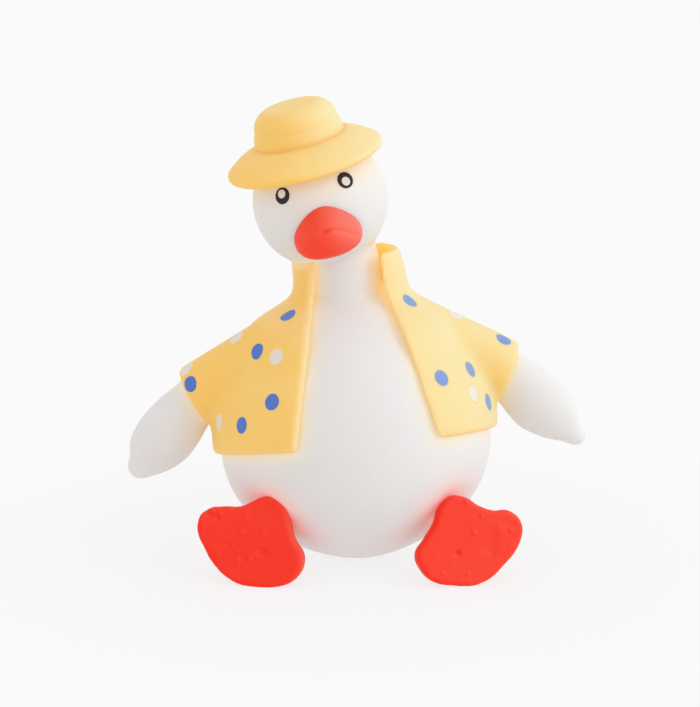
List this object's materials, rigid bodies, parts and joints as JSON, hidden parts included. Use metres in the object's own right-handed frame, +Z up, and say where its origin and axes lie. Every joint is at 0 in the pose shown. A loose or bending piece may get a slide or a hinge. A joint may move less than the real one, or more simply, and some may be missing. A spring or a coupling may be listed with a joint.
{
  "type": "rubber duck",
  "caption": "Soft rubber squeeze duck that sits on its belly, with a hat, a short-sleeved open jacket, a broad bill and webbed feet.",
  "frame": {"origin": "on the floor, in the flat spot under the belly", "axes": "+Z up; -Y is the way the belly and feet face; +X is the duck's left"},
  "size_m": [0.1096, 0.0659, 0.1086],
  "materials": {
    "white_rubber": "soft satin, slightly milky",
    "jacket_rubber": "soft satin with printed dots",
    "hat_rubber": "soft satin",
    "beak_rubber": "soft satin",
    "eye_print": "satin print with a white pupil",
    "foot_rubber": "soft satin with small pocks"
  },
  "bodies": {
    "root": {"body": "white_rubber", "jacket": "jacket_rubber", "hat": "hat_rubber", "beak": "beak_rubber", "right_eye": "eye_print", "left_eye": "eye_print", "right_foot": "foot_rubber", "left_foot": "foot_rubber"}
  },
  "joints": []
}
